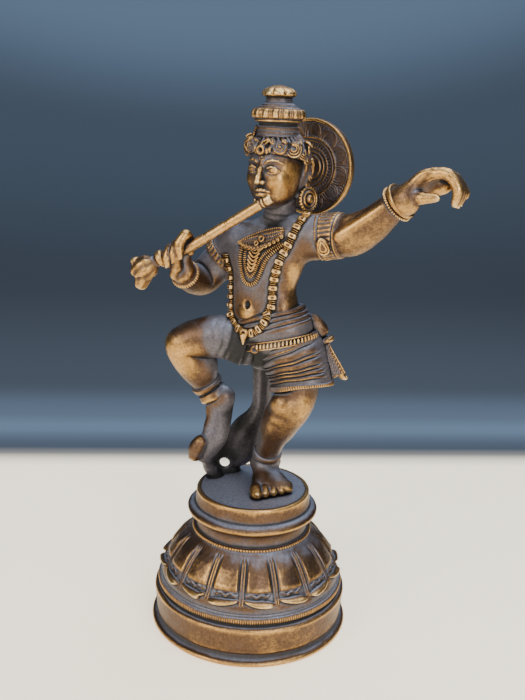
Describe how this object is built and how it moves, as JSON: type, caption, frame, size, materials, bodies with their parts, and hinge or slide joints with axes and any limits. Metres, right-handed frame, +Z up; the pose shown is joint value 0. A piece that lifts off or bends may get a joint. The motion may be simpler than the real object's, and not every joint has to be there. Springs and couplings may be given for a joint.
{
  "type": "dancing flute player figure on a lotus plinth",
  "caption": "Dancing figure standing on one leg and playing a flute, with a tall crown, a halo disc and long beads, on a round lotus plinth.",
  "frame": {"origin": "centre of the plinth's underside", "axes": "+Z up, the figure faces -Y and its own left arm reaches out along +X"},
  "size_m": [0.157, 0.1126, 0.2993],
  "materials": {
    "plinth_brass": "aged cast brass with a dark brown patina, rubbed bright on the raised petals, lips and mouldings",
    "figure_brass": "aged cast brass with a dark brown patina in the hollows, rubbed golden on the raised parts"
  },
  "bodies": {
    "root": {"plinth": "plinth_brass", "figure": "figure_brass"}
  },
  "joints": []
}
